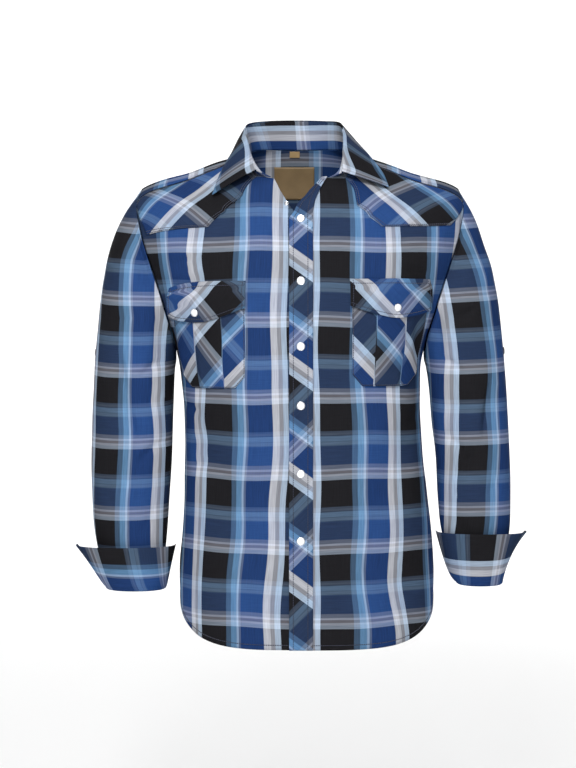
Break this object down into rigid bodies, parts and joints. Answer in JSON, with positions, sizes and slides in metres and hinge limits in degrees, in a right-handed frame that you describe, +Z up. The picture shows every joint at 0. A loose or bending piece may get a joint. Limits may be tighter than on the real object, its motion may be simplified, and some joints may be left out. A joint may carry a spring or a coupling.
{
  "type": "western snap shirt",
  "caption": "Long-sleeved western snap shirt in a woven check, filled out as worn and hollow, with pointed yokes, flap pockets, open collar and turned-back cuffs.",
  "frame": {"origin": "middle of the neck at the height of the highest shoulder points, where the shirt hangs from its wearer", "axes": "+Z up, -Y out of the front of the shirt, +X to the side of the wearer's left arm"},
  "size_m": [0.6714, 0.2682, 0.7825],
  "materials": {
    "plaid_front": "plain-woven cotton check, matt with a faint sheen",
    "plaid_back": "plain-woven cotton check, matt with a faint sheen",
    "plaid_yoke": "plain-woven cotton check, matt with a faint sheen",
    "plaid_bias": "the same check cut on the bias",
    "plaid_collar": "the same check cut across the grain",
    "plaid_sleeve": "plain-woven cotton check, matt with a faint sheen",
    "plaid_cuff": "the same check cut across the grain",
    "pearl_snap": "pearl white cap in a thin metal rim",
    "dark_button": "dark shirt button",
    "snap_metal": "silver-coloured snap part",
    "tan_label": "tan imitation leather, bare",
    "tan_tape": "tan woven tape, bare"
  },
  "bodies": {
    "root": {"front_right": "plaid_front", "front_left": "plaid_front", "back": "plaid_back", "back_yoke": "plaid_yoke", "front_yoke_right": "plaid_bias", "front_yoke_left": "plaid_bias", "placket": "plaid_bias", "under_placket": "plaid_bias", "collar_stand": "plaid_collar", "collar_leaf": "plaid_collar", "sleeve_right": "plaid_sleeve", "sleeve_left": "plaid_sleeve", "cuff_right": "plaid_cuff", "cuff_left": "plaid_cuff", "pocket_right": "plaid_bias", "pocket_left": "plaid_bias", "flap_right": "plaid_bias", "flap_left": "plaid_bias", "neck_label": "tan_label", "size_tab": "tan_tape", "snap_front_1": "pearl_snap", "snap_front_2": "pearl_snap", "snap_front_3": "pearl_snap", "snap_front_4": "pearl_snap", "snap_front_5": "pearl_snap", "snap_front_6": "pearl_snap", "snap_pocket_right": "pearl_snap", "snap_pocket_left": "pearl_snap", "tab_button_right": "dark_button", "tab_button_left": "dark_button", "snap_cuff_right": "snap_metal", "snap_cuff_left": "snap_metal", "snap_neck": "snap_metal"}
  },
  "joints": []
}
